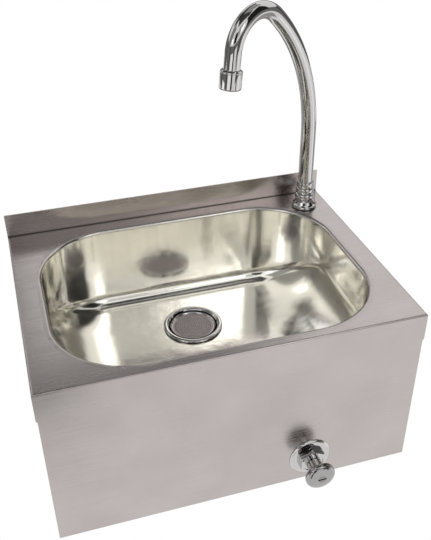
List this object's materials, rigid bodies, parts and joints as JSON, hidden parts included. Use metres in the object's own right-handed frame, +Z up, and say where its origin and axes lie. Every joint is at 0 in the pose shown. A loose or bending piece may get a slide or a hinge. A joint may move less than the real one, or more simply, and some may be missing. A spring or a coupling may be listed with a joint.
{
  "type": "hand wash basin",
  "caption": "Wall-hung stainless steel hand wash basin: drawn rectangular bowl, folded casing with low upstand, swan-neck swivel spout and a push valve in the front.",
  "frame": {"origin": "on the wall plane at mid-width, level with the top of the deck", "axes": "+X to the right as the user sees it, +Y into the wall, +Z up"},
  "size_m": [0.4, 0.325, 0.4716],
  "materials": {
    "stainless_brushed": "brushed, satin",
    "stainless_polished": "polished, drawn",
    "stainless_plain": "mill finish",
    "chrome": "polished plate",
    "strainer_steel": "punched, satin",
    "brass": "machined",
    "steel_small": "drawn wire and ground bar",
    "copper": "drawn tube",
    "rubber_black": "moulded",
    "plastic_white": "moulded"
  },
  "bodies": {
    "basin": {"deck_and_front": "stainless_brushed", "side_panel_left": "stainless_brushed", "side_panel_right": "stainless_brushed", "bowl": "stainless_polished", "rear_rail": "stainless_plain", "wall_bracket": "stainless_plain", "waste_slip_washer": "stainless_plain", "waste_flange": "chrome", "tap_base": "chrome", "valve_rosette": "chrome", "valve_front_nut": "chrome", "valve_body": "chrome", "strainer_plate": "strainer_steel", "waste_backnut": "brass", "tap_locknut": "brass", "valve_rear_nut": "brass", "valve_end_cap": "brass", "tap_union_nut": "brass", "valve_union_nut": "brass", "tap_olive": "brass", "valve_olive": "brass", "return_spring": "steel_small", "supply_pipe": "copper", "waste_upper_seal": "rubber_black", "waste_lower_seal": "rubber_black", "tap_gasket": "rubber_black", "tap_under_washer": "rubber_black", "valve_rear_washer": "rubber_black", "end_cap_seal": "rubber_black", "spout_bearing_washer": "plastic_white", "spout_snap_ring": "plastic_white"},
    "spout": {"spout_tube": "chrome", "spout_ferrule": "brass", "spout_o_ring": "rubber_black", "aerator_housing": "chrome", "aerator_washer": "rubber_black", "aerator_insert": "plastic_white"},
    "push_button": {"push_cap": "chrome", "cap_screw": "chrome", "push_stem": "chrome", "stem_o_ring": "rubber_black", "valve_spindle": "steel_small", "valve_head": "brass", "valve_seat_seal": "rubber_black"}
  },
  "joints": [
    {"name": "spout_swivel", "type": "hinge", "parent": "basin", "child": "spout", "pos_m": [0.1685, -0.036, 0.02], "axis": [0, 0, 1], "range_deg": [-40, 160]},
    {"name": "button_push", "type": "slide", "parent": "basin", "child": "push_button", "axis": [0, 1, 0], "range_m": [0, 0.008], "stiffness_N_per_m": 1500, "springref_m": -0.008, "deforming": ["return_spring"]}
  ]
}
